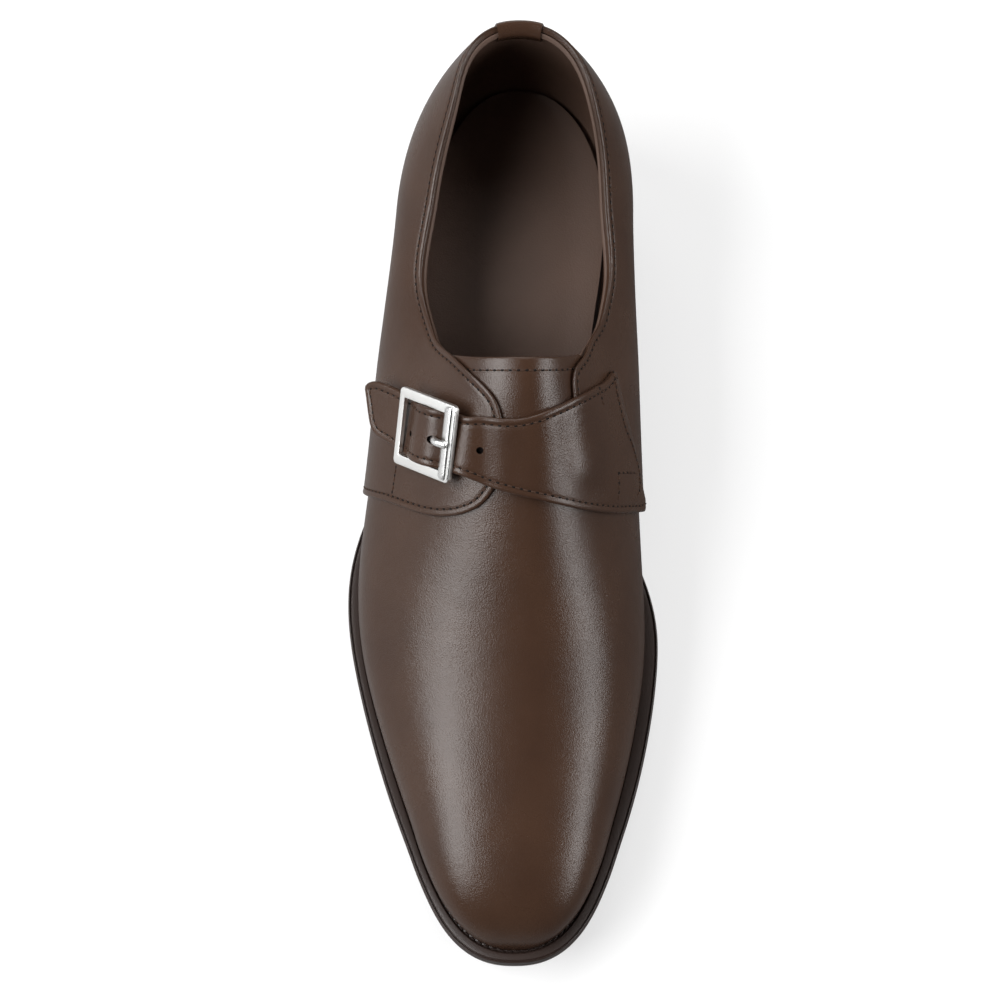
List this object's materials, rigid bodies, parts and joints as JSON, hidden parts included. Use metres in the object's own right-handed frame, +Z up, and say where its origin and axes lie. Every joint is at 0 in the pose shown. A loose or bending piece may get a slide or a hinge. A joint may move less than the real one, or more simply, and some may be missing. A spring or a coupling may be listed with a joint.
{
  "type": "monk strap shoe",
  "caption": "Right-foot dress shoe with a strap over the instep fastened by a polished buckle on the outer side, leather sole and low stacked heel.",
  "frame": {"origin": "middle of the footprint's bounding box, on the floor", "axes": "toe towards -Y, heel towards +Y, +X towards the inner side of the foot, +Z up"},
  "size_m": [0.1036, 0.3014, 0.0915],
  "materials": {
    "upper_leather": "satin smooth calf, dark brown",
    "sole_leather": "dyed and waxed edge, very dark brown",
    "lining_leather": "matt lining leather, brown",
    "heel_rubber": "matt black",
    "buckle_metal": "polished silver colour"
  },
  "bodies": {
    "root": {"outsole": "sole_leather", "heel_stack": "sole_leather", "heel_top_piece": "heel_rubber", "welt": "sole_leather", "insole": "lining_leather", "upper": "upper_leather", "outer_facing": "upper_leather", "inner_facing": "upper_leather", "strap": "upper_leather", "buckle_frame": "buckle_metal", "buckle_pin": "buckle_metal", "buckle_prong": "buckle_metal", "buckle_keeper": "upper_leather"}
  },
  "joints": []
}
